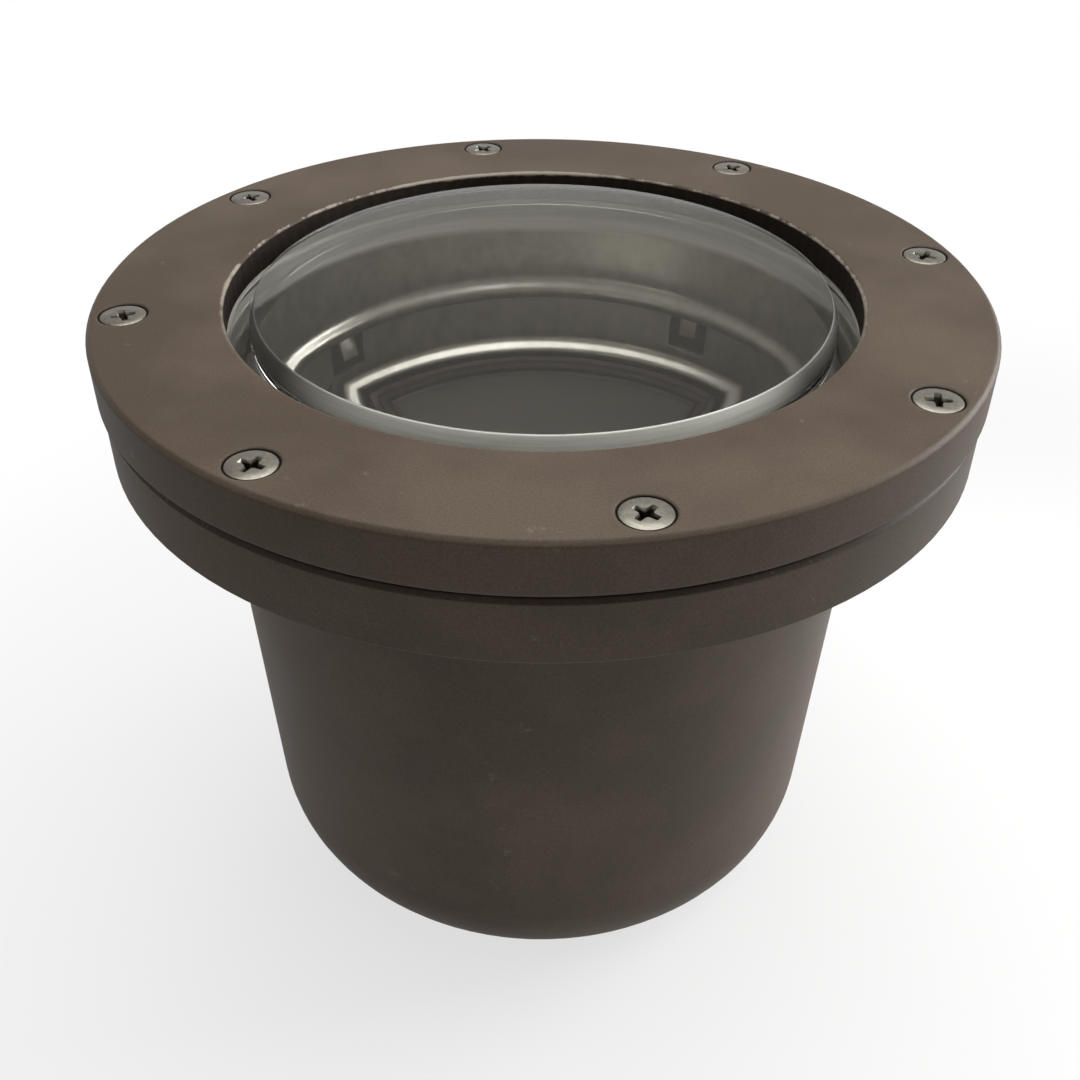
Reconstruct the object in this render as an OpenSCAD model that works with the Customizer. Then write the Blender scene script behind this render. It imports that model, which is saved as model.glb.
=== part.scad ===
// In-ground well light: a cast can with a screwed cover ring, a stepped glass, a spun bowl
// and a lamp that tilts and swivels on a yoke. Lengths are in millimetres and angles in degrees.
// The axis is Z, the base stands on z = 0, and the cable gland points to +Y, the rear.

/* [Overall] */
// Height from the base to the top of the cover ring
overall_h = 150; // [144:1:190]
// Diameter of the glass crown that stands in the ring's hole
crown_d = 125; // [112:1:150]
// Wall of the cast housing
wall = 4; // [3:0.1:5]

/* [Cover ring] */
// Gap between the glass crown and the hole of the ring
lens_gap = 5.4; // [3:0.1:6.5]
// Width of the ring from its hole to its outer edge
ring_w = 27.1; // [26.6:0.1:36]
// Thickness of the ring
ring_t = 11.3; // [10.6:0.1:15]
// Thickness of the lip that holds the glass down
lip_t = 6.3; // [5:0.1:7]
// Chamfer along the outer edges of ring and flange
edge_chamfer = 0.8; // [0.3:0.1:1.5]

/* [Cover screws] */
// Number of screws round the ring
screw_count = 8; // [4:1:10]
// Angle of the first screw from the right hand side
screw_angle = 11; // [0:1:44]
// Distance from the ring's edge to the middle of a screw
screw_inset = 7.1; // [6.2:0.1:7.8]
// Diameter of the flat head
head_d = 9.7; // [8:0.1:10.4]
// Diameter of the shank
screw_d = 4.8; // [4:0.1:5.2]
// Length of a screw, head included
screw_len = 22; // [16:0.5:23]

/* [Glass] */
// Width of the step round the crown, which the ring holds
step_w = 13.5; // [11:0.1:14]
// Thickness of the step
step_t = 7; // [5:0.5:9]
// Rounding of the crown's top edge
shoulder_r = 1.6; // [1:0.1:4]
// Rise of the domed top above the crown's edge
dome_h = 1.2; // [0.4:0.1:4]

/* [Housing] */
// Thickness of the flange under the ring
flange_t = 13.9; // [12:0.1:18]
// Distance that the flange stands out from the can
overhang = 20.5; // [17:0.1:21]
// Draft of the cast can
draft = 2.4; // [1:0.1:3]
// Radius of the round between wall and base
base_round = 24.8; // [15:0.1:26]
// Height of the cable gland's axis
gland_z = 40; // [36:0.5:60]

/* [Bowl] */
// Thickness of the spun sheet
sheet_t = 1.2; // [0.8:0.1:1.6]
// Depth of the upright collar under the bowl's flange
collar_h = 8.3; // [5:0.1:10]
// Depth of the bead under the bowl's flange
bead_drop = 21.8; // [18:0.1:23]
// Depth of the whole bowl
bowl_h = 36.9; // [35:0.1:42]
// Angle of the first lanced tab from the right hand side
tab_angle = 55; // [0:1:89]
// Width of a lanced tab with its slot
tab_w = 9.8; // [7:0.1:14]
// Height of a lanced tab with its slot
tab_h = 6.8; // [5:0.1:8]
// Width of the slot round a tab
tab_slot = 3.1; // [1:0.1:3.3]

/* [Lamp] */
// Distance between the lamp's edge and the crown's edge, seen from above
lamp_inset = 5.5; // [5:0.1:12]
// Distance from the bowl's rim down to the lamp's face
lamp_drop = 1.4; // [1:0.1:8]
// Free height between the terminal block and the back of the lamp
lead_room = 13; // [11:0.5:24]
// Number of cooling fins
fin_count = 24; // [12:1:32]
// Thickness of a fin
fin_t = 1.8; // [1:0.1:2.5]

/* [Gimbal] */
// Distance from the lamp's face down to the tilting axis
pivot_drop = 7.5; // [7.5:0.1:9]
// Thickness of the yoke's strip
yoke_t = 1.8; // [1.5:0.1:2.5]
// Width of the yoke's strip
yoke_w = 15; // [12:0.5:15]
// Outer radius of the yoke's two bends
yoke_bend = 20; // [12:0.5:22]

/* [Hidden] */
$fn = 96;
// Overrun of every cut past the face that it opens
lap = 0.5;
// Radial play of a fixed piece in its seat
play = 0.2;
// Radial clearance of a pin that turns
run_fit = 0.05;
// Gap between ring and flange, which the gasket holds open
joint_gap = 0.9;

// Glass and gaskets, from the top down
crown_r = crown_d / 2;
crown_dip = 0.5;
top_gasket_t = 1.5;
seat_gasket_t = 3.4;
edge_gasket_t = 1;
edge_gap = 0.3;
crown_z = overall_h - crown_dip;
step_top = overall_h - lip_t - top_gasket_t;
lens_z = step_top - step_t;
step_r = crown_r + step_w;
bowl_top = lens_z - seat_gasket_t;
seat_z = bowl_top - sheet_t;

// Cover ring and flange
hole_r = crown_r + lens_gap;
ring_r = hole_r + ring_w;
ring_z = overall_h - ring_t;
edge_gasket_r = step_r + edge_gap + edge_gasket_t;
pocket_r = edge_gasket_r + edge_gap;
hole_chamfer = 0.5;
flange_inset = 0.7;
flange_r = ring_r - flange_inset;
flange_top = ring_z - joint_gap;
flange_z = flange_top - flange_t;
groove_land = 2;
groove_w = 4.8;
groove_deep = 1.2;
groove_r = pocket_r + groove_land;

// Screws
screw_pitch_r = ring_r - screw_inset;
head_land = 0.3;
csk_play = 0.45;
hole_play = 0.35;
tap_play = 0.1;
tap_end = 1;
recess_w = 1.5;
recess_l = 5.2;
recess_deep = 2;

// Can
body_top_r = flange_r - overhang;
body_base_r = body_top_r - flange_z * tan(draft);
wall_r = wall / cos(draft);
root_fillet = 2;
collar_out = 6.5;
collar_r = crown_r + collar_out;
throat_play = 1;
throat_r = collar_r + sheet_t + throat_play;
throat_h = 14;

// Bowl
bead_out = 3.8;
opening_out = 1;
bead_rise = 1.8;
roll_r = 1.5;
bead_r = crown_r + bead_out;
opening_r = crown_r + opening_out;
bowl_flange_r = pocket_r - play;
bead_z = bowl_top - bead_drop;
rim_z = bowl_top - bowl_h;
collar_z = bowl_top - collar_h;
tab_share = 0.62;
tab_mid = rim_z + (bead_z - rim_z) * tab_share;
tab_count = 4;

// Lamp
lamp_r = crown_r - lamp_inset;
face_z = rim_z - lamp_drop;
lamp_rim_h = 10.5;
lamp_rim_w = 1.7;
face_t = 3;
board_gap = 2.5;
board_t = 1.2;
board_inset = 5.3;
led_side = 3.5;
led_t = 0.8;
led_ring_shares = [0.3, 0.62, 0.88];
led_counts = [6, 12, 18];
cap_h = 9;
cap_r = 20;
core_top_w = 11;
fin_root_r = 28;
lamp_seat_z = face_z - lamp_rim_h;
stud_d = 6;
stud_h = 6.5;
pole_pitch = 10;

// Holder
holder_play = 0.3;
holder_wall = 2;
holder_lip = 3.5;
holder_lip_t = 2;
wire_d = 1.6;
wire_gap_angle = 24;
holder_top_land = 0.7;
pivot_boss_out = 1.5;
pivot_boss_d = 10;
pivot_d = 5;
pivot_thread_d = 4;
pivot_head_d = 9;
pivot_head_t = 1.8;
pivot_washer_t = 1;
slot_w = 1.2;
slot_deep = 0.8;
holder_in = lamp_r + holder_play;
holder_r = holder_in + holder_wall;
lip_r = lamp_r - holder_lip;
holder_top = face_z + wire_d + holder_top_land;
pivot_z = face_z - pivot_drop;
pivot_face = holder_r + pivot_boss_out;

// Yoke
arm_in = pivot_face + pivot_washer_t;
arm_out = arm_in + yoke_t;
swivel_boss_h = 4;
swivel_boss_d = 20;
pad_t = 1;
pad_d = 18;
bolt_d = 6;
bolt_head = 10;
bolt_head_t = 4;
spring_washer_t = 1.5;
spring_washer_d = 12;
bolt_thread = 5.5;
yoke_z = wall + swivel_boss_h + pad_t;
yoke_top = yoke_z + yoke_t;

// Terminal block on the yoke
block_x = 30;
block_l = 22;
block_w = 18;
block_h = 13;
block_wire_h = 7;
wire_hole_d = 4;
clamp_d = 3.6;
clamp_x = 6.5;
clamp_h = 4.2;
block_screw_d = 3;
block_screw_head_d = 5.4;
block_screw_head_t = 1.6;
lead_d = 2.6;
lead_bend = 7;
block_top = yoke_top + block_h;
lamp_z = block_top + lead_room;

// Earth screw on the floor
earth_y = -34;
earth_boss_h = 1.2;
earth_boss_d = 12;
earth_d = 4;
earth_head_d = 7.6;
earth_head_t = 2.4;
earth_washer_t = 0.5;
earth_washer_d = 9;
earth_thread = 3.4;

// Cable gland
gland_d = 20;
gland_boss_w = 6;
gland_boss_d = gland_d + 2 * gland_boss_w;
gland_hex_w = 2;
gland_flats = gland_d + 2 * gland_hex_w;
gland_hex_t = 5;
gland_washer_t = 1.5;
gland_washer_w = 3.5;
gland_washer_d = gland_d + 2 * gland_washer_w;
gland_thread_extra = 0.5;
gland_barrel_d = gland_d + 2 * gland_thread_extra;
gland_barrel_l = 5.5;
gland_wall = 3;
gland_bore_d = gland_d - 2 * gland_wall;
gland_nut_gap = 0.3;
gland_nut_hex_l = 7;
gland_nut_l = 12.6;
gland_mouth_step = 1;
gland_mouth_d = gland_bore_d - 2 * gland_mouth_step;
gland_mouth_wall = 1.2;
gland_pilot_l = 40;
bush_wall = 2.8;
bush_bore_d = gland_bore_d - 2 * bush_wall;
bush_l = 9;
bush_in = 2;
gland_face = body_top_r;
gland_in = 0.5;

// Colours
bronze = [0.27, 0.23, 0.19];
grey_sheet = [0.55, 0.55, 0.53];
steel = [0.72, 0.72, 0.70];
rubber = [0.12, 0.12, 0.12];
silicone = [0.70, 0.70, 0.66];
glass = [0.85, 0.90, 0.88, 0.45];
brass = [0.78, 0.62, 0.30];
dark_plastic = [0.16, 0.16, 0.17];

module tube(r_out, r_in, h) {
    difference() {
        cylinder(r = r_out, h = h);
        translate([0, 0, -lap]) cylinder(r = r_in, h = h + 2 * lap);
    }
}

module hex(flats, h) {
    cylinder(r = flats / 2 / cos(30), h = h, $fn = 6);
}

module around(count, first = 0) {
    for (i = [0 : count - 1]) rotate([0, 0, first + i * 360 / count]) children();
}

// Half section of a drafted can: base at z = 0, radius top_r at height h, and a round of radius
// round_r where the wall meets the base.
module can_section(top_r, round_r, h) {
    mid_r = top_r - h * tan(draft) - round_r * (1 - sin(draft)) / cos(draft);
    polygon([[0, 0], [mid_r, 0],
        [mid_r + round_r * cos(draft), round_r * (1 - sin(draft))],
        [top_r, h], [0, h]]);
    intersection() {
        translate([mid_r, round_r]) circle(r = round_r);
        translate([mid_r, 0]) square([round_r, round_r]);
    }
}

// Section of a flat ring with both outer edges chamfered.
module rim_section(r, z, h) {
    polygon([[0, z], [r - edge_chamfer, z], [r, z + edge_chamfer], [r, z + h - edge_chamfer],
        [r - edge_chamfer, z + h], [0, z + h]]);
}

module housing_cuts() {
    rotate_extrude() {
        translate([0, wall]) can_section(body_top_r - wall_r, base_round - wall, flange_z - wall);
        translate([0, seat_z - throat_h]) square([throat_r, throat_h + lap]);
        translate([0, seat_z]) square([pocket_r, flange_top - seat_z + lap]);
        translate([groove_r, flange_top - groove_deep]) square([groove_w, groove_deep + lap]);
    }
    around(screw_count, screw_angle) translate([screw_pitch_r, 0, overall_h - screw_len - tap_end])
        cylinder(d = screw_d + 2 * tap_play, h = screw_len);
}

module housing() {
    color(bronze) difference() {
        union() {
            difference() {
                union() {
                    rotate_extrude() {
                        can_section(body_top_r, base_round, flange_z);
                        rim_section(flange_r, flange_z, flange_t);
                        difference() {
                            translate([0, flange_z - root_fillet])
                                square([body_top_r + root_fillet, root_fillet + lap]);
                            translate([body_top_r + root_fillet, flange_z - root_fillet])
                                circle(r = root_fillet);
                            translate([body_top_r + root_fillet, flange_z - root_fillet])
                                square(2 * root_fillet);
                        }
                    }
                    translate([0, 0, gland_z]) rotate([-90, 0, 0])
                        cylinder(d = gland_boss_d, h = gland_face);
                }
                housing_cuts();
            }
            translate([0, 0, wall - lap]) cylinder(d = swivel_boss_d, h = swivel_boss_h + lap);
            translate([0, earth_y, wall - lap]) cylinder(d = earth_boss_d, h = earth_boss_h + lap);
        }
        translate([0, 0, gland_z]) rotate([-90, 0, 0])
            translate([0, 0, gland_face - gland_pilot_l])
                cylinder(d = gland_d + 2 * tap_play, h = gland_pilot_l + lap);
        translate([0, 0, wall + swivel_boss_h - bolt_thread])
            cylinder(d = bolt_d + 2 * tap_play, h = bolt_thread + lap, $fn = 48);
        translate([0, earth_y, wall + earth_boss_h - earth_thread])
            cylinder(d = earth_d + 2 * tap_play, h = earth_thread + lap, $fn = 32);
    }
}

module flange_gasket() {
    color(rubber) translate([0, 0, flange_top - groove_deep])
        tube(groove_r + groove_w - play, groove_r + play, groove_deep + joint_gap);
}

// Half section of the bowl's sheet: from the rolled rim up the wall to the collar and the flange.
module bowl_section() {
    roll_top = rim_z + 2 * roll_r;
    polygon([[opening_r + roll_r, roll_top - roll_r], [opening_r + roll_r - sheet_t / 2, roll_top],
        [bead_r, bead_z], [collar_r, collar_z], [collar_r, bowl_top], [bowl_flange_r, bowl_top],
        [bowl_flange_r, seat_z], [collar_r + sheet_t, seat_z], [collar_r + sheet_t, collar_z],
        [bead_r + sheet_t, bead_z], [opening_r + roll_r + sheet_t / 2, roll_top]]);
}

// A slot that leaves a tab hanging from its upper edge.
module tab_slot_section() {
    difference() {
        translate([-tab_w / 2, 0]) square([tab_w, tab_h]);
        translate([tab_slot - tab_w / 2, tab_slot]) square([tab_w - 2 * tab_slot, tab_h]);
    }
}

module bowl() {
    bead_mid_r = bead_r + sheet_t / 2;
    color(grey_sheet) difference() {
        union() {
            rotate_extrude() bowl_section();
            // rolled rim round the opening
            rotate_extrude() translate([opening_r + roll_r, rim_z + roll_r]) circle(r = roll_r);
            // pressed bead, a half round that stands in from the wall
            rotate_extrude() intersection() {
                translate([bead_mid_r, bead_z]) circle(r = bead_rise);
                translate([0, bead_z - bead_rise]) square([bead_mid_r, 2 * bead_rise]);
            }
        }
        rotate_extrude() translate([bead_mid_r, bead_z]) circle(r = bead_rise - sheet_t);
        around(tab_count, tab_angle)
            translate([opening_r - lap, 0, tab_mid - tab_h / 2]) rotate([90, 0, 90])
                linear_extrude(bead_r + 2 * sheet_t - opening_r + 2 * lap) tab_slot_section();
    }
}

// The lower gasket lies under the glass and stands up round its edge.
module lens_seat_gasket() {
    edge_h = step_top - edge_gap - bowl_top;
    color(silicone) translate([0, 0, bowl_top]) {
        tube(edge_gasket_r, collar_r + play, seat_gasket_t);
        tube(edge_gasket_r, step_r + edge_gap, edge_h);
    }
}

module screw_hole() {
    head_top_r = head_d / 2 + csk_play;
    shank_r = screw_d / 2 + hole_play;
    translate([0, 0, overall_h - (head_top_r - shank_r)])
        cylinder(r1 = shank_r, r2 = head_top_r, h = head_top_r - shank_r);
    translate([0, 0, overall_h]) cylinder(r = head_top_r, h = lap);
    translate([0, 0, ring_z - lap]) cylinder(r = shank_r, h = ring_t);
}

module cover_ring() {
    color(bronze) difference() {
        rotate_extrude() difference() {
            rim_section(ring_r, ring_z, ring_t);
            translate([0, ring_z - lap]) square([hole_r, ring_t + 2 * lap]);
            translate([0, ring_z - lap]) square([pocket_r, ring_t - lip_t + lap]);
            translate([hole_r, overall_h]) polygon([[-lap, lap], [hole_chamfer + lap, lap],
                [hole_chamfer, 0], [0, -hole_chamfer], [-lap, -hole_chamfer]]);
        }
        around(screw_count, screw_angle) translate([screw_pitch_r, 0, 0]) screw_hole();
    }
}

module cover_screw() {
    head_h = (head_d - screw_d) / 2;
    difference() {
        union() {
            translate([0, 0, -head_land]) cylinder(d = head_d, h = head_land, $fn = 48);
            translate([0, 0, -head_land - head_h])
                cylinder(d1 = screw_d, d2 = head_d, h = head_h, $fn = 48);
            translate([0, 0, -screw_len]) cylinder(d = screw_d, h = screw_len - head_land, $fn = 48);
        }
        for (a = [0, 90]) rotate([0, 0, a]) rotate([90, 0, 0])
            linear_extrude(recess_w, center = true)
                polygon([[-recess_l / 2, lap], [recess_l / 2, lap], [recess_l / 2, 0],
                    [recess_w / 2, -recess_deep], [-recess_w / 2, -recess_deep], [-recess_l / 2, 0]]);
    }
}

module cover_screws() {
    color(steel) around(screw_count, screw_angle)
        translate([screw_pitch_r, 0, overall_h]) cover_screw();
}

module lens() {
    top_r = crown_r - shoulder_r;
    dome_r = (top_r * top_r + dome_h * dome_h) / (2 * dome_h);
    color(glass) rotate_extrude() {
        translate([0, lens_z]) square([step_r, step_t]);
        translate([0, lens_z]) square([crown_r, crown_z - shoulder_r - lens_z]);
        translate([0, lens_z]) square([top_r, crown_z - lens_z]);
        translate([top_r, crown_z - shoulder_r]) intersection() {
            circle(r = shoulder_r);
            square(shoulder_r);
        }
        intersection() {
            translate([0, crown_z + dome_h - dome_r]) circle(r = dome_r, $fn = 360);
            translate([0, crown_z - lap]) square([top_r, dome_h + 2 * lap]);
        }
    }
}

module lens_top_gasket() {
    color(silicone) translate([0, 0, step_top])
        tube(step_r - play, hole_r + play, top_gasket_t);
}

// Places what follows on the gland's axis: z = 0 is the boss face and +z leads out of the housing.
module on_gland() {
    translate([0, gland_face, gland_z]) rotate([-90, 0, 0]) children();
}

module gland_washer() {
    color(rubber) on_gland() tube(gland_washer_d / 2, gland_d / 2 + play, gland_washer_t);
}

module gland_body() {
    thread_l = gland_face - body_base_r + wall - gland_in;
    color(dark_plastic) on_gland() difference() {
        union() {
            translate([0, 0, -thread_l]) cylinder(d = gland_d, h = thread_l + gland_washer_t + lap);
            translate([0, 0, gland_washer_t]) hex(gland_flats, gland_hex_t);
            translate([0, 0, gland_washer_t + gland_hex_t])
                cylinder(d = gland_barrel_d, h = gland_barrel_l);
        }
        translate([0, 0, -thread_l - lap])
            cylinder(d = gland_bore_d,
                h = thread_l + gland_washer_t + gland_hex_t + gland_barrel_l + 2 * lap);
    }
}

module gland_bush() {
    color(rubber) on_gland() translate([0, 0, gland_washer_t + gland_hex_t - bush_in])
        tube(gland_bore_d / 2 - play, bush_bore_d / 2, bush_l);
}

module gland_nut() {
    dome_l = gland_nut_l - gland_nut_hex_l;
    color(dark_plastic) on_gland() translate([0, 0, gland_washer_t + gland_hex_t + gland_nut_gap])
        difference() {
            union() {
                hex(gland_flats, gland_nut_hex_l);
                translate([0, 0, gland_nut_hex_l])
                    cylinder(r1 = gland_flats / 2, r2 = gland_mouth_d / 2 + gland_mouth_wall, h = dome_l);
            }
            translate([0, 0, -lap])
                cylinder(d = gland_barrel_d + 2 * play, h = gland_barrel_l + 2 * lap);
            translate([0, 0, -lap]) cylinder(d = gland_mouth_d, h = gland_nut_l + 2 * lap);
            translate([0, 0, gland_barrel_l])
                cylinder(d = gland_bore_d + 2 * play, h = bush_l - bush_in - gland_barrel_l + play);
        }
}

module earth_washer() {
    color(steel) translate([0, earth_y, wall + earth_boss_h])
        tube(earth_washer_d / 2, earth_d / 2 + play, earth_washer_t);
}

module earth_screw() {
    color(brass) translate([0, earth_y, wall + earth_boss_h]) difference() {
        union() {
            translate([0, 0, tap_end - earth_thread])
                cylinder(d = earth_d, h = earth_thread - tap_end + earth_washer_t + lap, $fn = 32);
            translate([0, 0, earth_washer_t]) cylinder(d = earth_head_d, h = earth_head_t, $fn = 48);
        }
        translate([-earth_head_d, -slot_w / 2, earth_washer_t + earth_head_t - slot_deep])
            cube([2 * earth_head_d, slot_w, slot_deep + lap]);
    }
}

// Places what follows on both pivots: z = 0 is the boss face of the holder, +z points outwards.
module on_pivots() {
    for (side = [0, 180]) rotate([0, 0, side])
        translate([pivot_face, 0, pivot_z]) rotate([0, 90, 0]) children();
}

// Half of the yoke's U, seen along Y: a strip edge at distance half, with its bend of radius bend.
module yoke_half(half, low, bend, high) {
    translate([0, low]) square([half - bend, high - low]);
    translate([half - bend - lap, low + bend]) square([bend + lap, high - low - bend]);
    translate([half - bend, low + bend]) intersection() {
        circle(r = bend);
        translate([-lap, -bend]) square([bend + lap, bend + lap]);
    }
}

module yoke() {
    high = pivot_z + yoke_w / 2;
    color(steel) difference() {
        intersection() {
            rotate([90, 0, 0]) linear_extrude(yoke_w, center = true)
                for (m = [0, 1]) mirror([m, 0]) difference() {
                    yoke_half(arm_out, yoke_z, yoke_bend, high);
                    translate([0, yoke_t]) yoke_half(arm_in, yoke_z, yoke_bend - yoke_t, high);
                }
            union() {
                translate([-arm_out - lap, -yoke_w, yoke_z - lap])
                    cube([2 * (arm_out + lap), 2 * yoke_w, pivot_z - yoke_z + lap]);
                translate([-arm_out - lap, 0, pivot_z]) rotate([0, 90, 0])
                    cylinder(d = yoke_w, h = 2 * (arm_out + lap));
            }
        }
        translate([0, 0, yoke_z - lap])
            cylinder(d = bolt_d + 2 * run_fit, h = yoke_t + 2 * lap, $fn = 48);
        translate([block_x, 0, yoke_z - lap])
            cylinder(d = block_screw_d + 2 * tap_play, h = yoke_t + 2 * lap, $fn = 32);
        on_pivots() translate([0, 0, -lap])
            cylinder(d = pivot_d + 2 * run_fit, h = pivot_washer_t + yoke_t + 2 * lap, $fn = 48);
    }
}

module swivel_pad() {
    color(dark_plastic) translate([0, 0, wall + swivel_boss_h])
        tube(pad_d / 2, bolt_d / 2 + play, pad_t);
}

module swivel_spring_washer() {
    color(steel) translate([0, 0, yoke_top])
        tube(spring_washer_d / 2, bolt_d / 2 + play, spring_washer_t);
}

module swivel_bolt() {
    low = wall + swivel_boss_h - bolt_thread + tap_end;
    color(steel) {
        translate([0, 0, low]) cylinder(d = bolt_d, h = yoke_top + spring_washer_t + lap - low, $fn = 48);
        translate([0, 0, yoke_top + spring_washer_t]) hex(bolt_head, bolt_head_t);
    }
}

module gimbal_ring() {
    color(steel) difference() {
        union() {
            rotate_extrude() difference() {
                translate([lip_r, lamp_seat_z - holder_lip_t])
                    square([holder_r - lip_r, holder_top - lamp_seat_z + holder_lip_t]);
                translate([0, lamp_seat_z]) square([holder_in, holder_top]);
                translate([holder_in, face_z + wire_d / 2]) circle(d = wire_d + play, $fn = 32);
            }
            on_pivots() translate([0, 0, -pivot_boss_out - holder_wall / 2])
                cylinder(d = pivot_boss_d, h = pivot_boss_out + holder_wall / 2, $fn = 48);
        }
        on_pivots() translate([0, 0, -pivot_boss_out - holder_wall - lap])
            cylinder(d = pivot_thread_d + 2 * tap_play, h = pivot_boss_out + holder_wall + 2 * lap,
                $fn = 48);
    }
}

module pivot_washers() {
    color(dark_plastic) on_pivots()
        tube(pivot_boss_d / 2, pivot_d / 2 + play, pivot_washer_t);
}

module pivot_screws() {
    thread_l = pivot_boss_out + holder_wall / 2;
    shoulder_l = pivot_washer_t + yoke_t + tap_play;
    color(steel) on_pivots() difference() {
        union() {
            translate([0, 0, -thread_l]) cylinder(d = pivot_thread_d, h = thread_l + lap, $fn = 48);
            cylinder(d = pivot_d, h = shoulder_l, $fn = 48);
            translate([0, 0, shoulder_l]) cylinder(d = pivot_head_d, h = pivot_head_t, $fn = 48);
        }
        translate([-pivot_head_d, -slot_w / 2, shoulder_l + pivot_head_t - slot_deep])
            cube([2 * pivot_head_d, slot_w, slot_deep + lap]);
    }
}

module retaining_ring() {
    color(steel) rotate([0, 0, wire_gap_angle / 2 - 90])
        rotate_extrude(angle = 360 - wire_gap_angle)
            translate([holder_in, face_z + wire_d / 2]) circle(d = wire_d, $fn = 32);
}

module lamp_body() {
    fin_top_r = lip_r - 2 * holder_play;
    core_top_r = lamp_r - core_top_w;
    cap_top = lamp_z + cap_h;
    color([0.62, 0.62, 0.62]) difference() {
        union() {
            rotate_extrude() {
                translate([0, lamp_seat_z]) square([lamp_r, lamp_rim_h]);
                polygon([[0, cap_top], [cap_r, cap_top], [core_top_r, lamp_seat_z + lap],
                    [0, lamp_seat_z + lap]]);
                translate([0, lamp_z]) square([cap_r, cap_h]);
            }
            around(fin_count) rotate([90, 0, 0]) linear_extrude(fin_t, center = true)
                polygon([[cap_r - lap, cap_top], [fin_root_r, cap_top], [fin_top_r, lamp_seat_z],
                    [core_top_r - lap, lamp_seat_z]]);
        }
        translate([0, 0, face_z - face_t]) cylinder(r = lamp_r - lamp_rim_w, h = face_t + lap);
        translate([0, 0, face_z - face_t - board_gap])
            cylinder(r = lamp_r - lamp_rim_w - board_inset, h = face_t + lap);
    }
}

module lamp_face() {
    color([0.75, 0.78, 0.78, 0.8]) translate([0, 0, face_z - face_t])
        cylinder(r = lamp_r - lamp_rim_w - play, h = face_t);
}

module led_board() {
    color("white") translate([0, 0, face_z - face_t - board_gap])
        cylinder(r = lamp_r - lamp_rim_w - board_inset - play, h = board_t);
}

module leds() {
    reach = lamp_r - lamp_rim_w - board_inset;
    color([0.95, 0.85, 0.35]) for (k = [0 : len(led_counts) - 1])
        around(led_counts[k])
            translate([reach * led_ring_shares[k] - led_side / 2, -led_side / 2,
                face_z - face_t - board_gap + board_t])
                cube([led_side, led_side, led_t]);
}

module lamp_terminals() {
    color(brass) for (side = [-1, 1]) translate([0, side * pole_pitch / 2, lamp_z - stud_h])
        cylinder(d = stud_d, h = stud_h, $fn = 48);
}

module terminal_block() {
    wire_z = yoke_top + block_wire_h;
    color(dark_plastic) difference() {
        translate([block_x - block_l / 2, -block_w / 2, yoke_top]) cube([block_l, block_w, block_h]);
        for (side = [-1, 1]) translate([block_x - block_l / 2 - lap, side * pole_pitch / 2, wire_z])
            rotate([0, 90, 0]) cylinder(d = wire_hole_d, h = block_l + 2 * lap, $fn = 32);
        for (side = [-1, 1], end = [-1, 1])
            translate([block_x + end * clamp_x, side * pole_pitch / 2, wire_z])
                cylinder(d = clamp_d + 2 * tap_play, h = block_h, $fn = 32);
        translate([block_x, 0, yoke_top - lap])
            cylinder(d = block_screw_d + 2 * tap_play, h = block_h + 2 * lap, $fn = 32);
    }
}

module terminal_screws() {
    color(brass) for (side = [-1, 1], end = [-1, 1])
        translate([block_x + end * clamp_x, side * pole_pitch / 2, block_top - clamp_h]) difference() {
            cylinder(d = clamp_d, h = clamp_h, $fn = 32);
            translate([-clamp_d, -slot_w / 4, clamp_h - slot_deep])
                cube([2 * clamp_d, slot_w / 2, slot_deep + lap]);
        }
}

module block_screw() {
    color(steel) {
        translate([block_x, 0, yoke_z]) cylinder(d = block_screw_d, h = block_top + lap - yoke_z, $fn = 32);
        translate([block_x, 0, block_top])
            cylinder(d = block_screw_head_d, h = block_screw_head_t, $fn = 32);
    }
}

// Each lead runs level out of the block, bends up, and ends under its terminal.
module lamp_leads() {
    wire_z = yoke_top + block_wire_h;
    start = block_x - clamp_x - clamp_d;
    color([0.35, 0.30, 0.25]) for (side = [-1, 1]) translate([0, side * pole_pitch / 2, 0]) {
        translate([lead_bend, 0, wire_z]) rotate([0, 90, 0])
            cylinder(d = lead_d, h = start - lead_bend, $fn = 32);
        translate([lead_bend, 0, wire_z + lead_bend]) rotate([90, 0, 0]) rotate([0, 0, 180])
            rotate_extrude(angle = 90) translate([lead_bend, 0]) circle(d = lead_d, $fn = 32);
        translate([0, 0, wire_z + lead_bend])
            cylinder(d = lead_d, h = lamp_z - stud_h - wire_z - lead_bend, $fn = 32);
    }
}

housing();
flange_gasket();
bowl();
lens_seat_gasket();
cover_ring();
cover_screws();
lens();
lens_top_gasket();
gland_body();
gland_washer();
gland_bush();
gland_nut();
earth_screw();
earth_washer();
yoke();
swivel_bolt();
swivel_spring_washer();
swivel_pad();
gimbal_ring();
pivot_screws();
pivot_washers();
lamp_body();
lamp_face();
led_board();
leds();
lamp_terminals();
retaining_ring();
terminal_block();
terminal_screws();
block_screw();
lamp_leads();
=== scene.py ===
# In-ground well light: a cast can and cover ring with a bronze finish, a stepped glass, a spun
# bowl and a lamp that tilts in a yoke. Metres; +Z is up and the cable gland points to +Y.
import math

import bmesh
import bpy
from mathutils import Matrix, Vector


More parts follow.
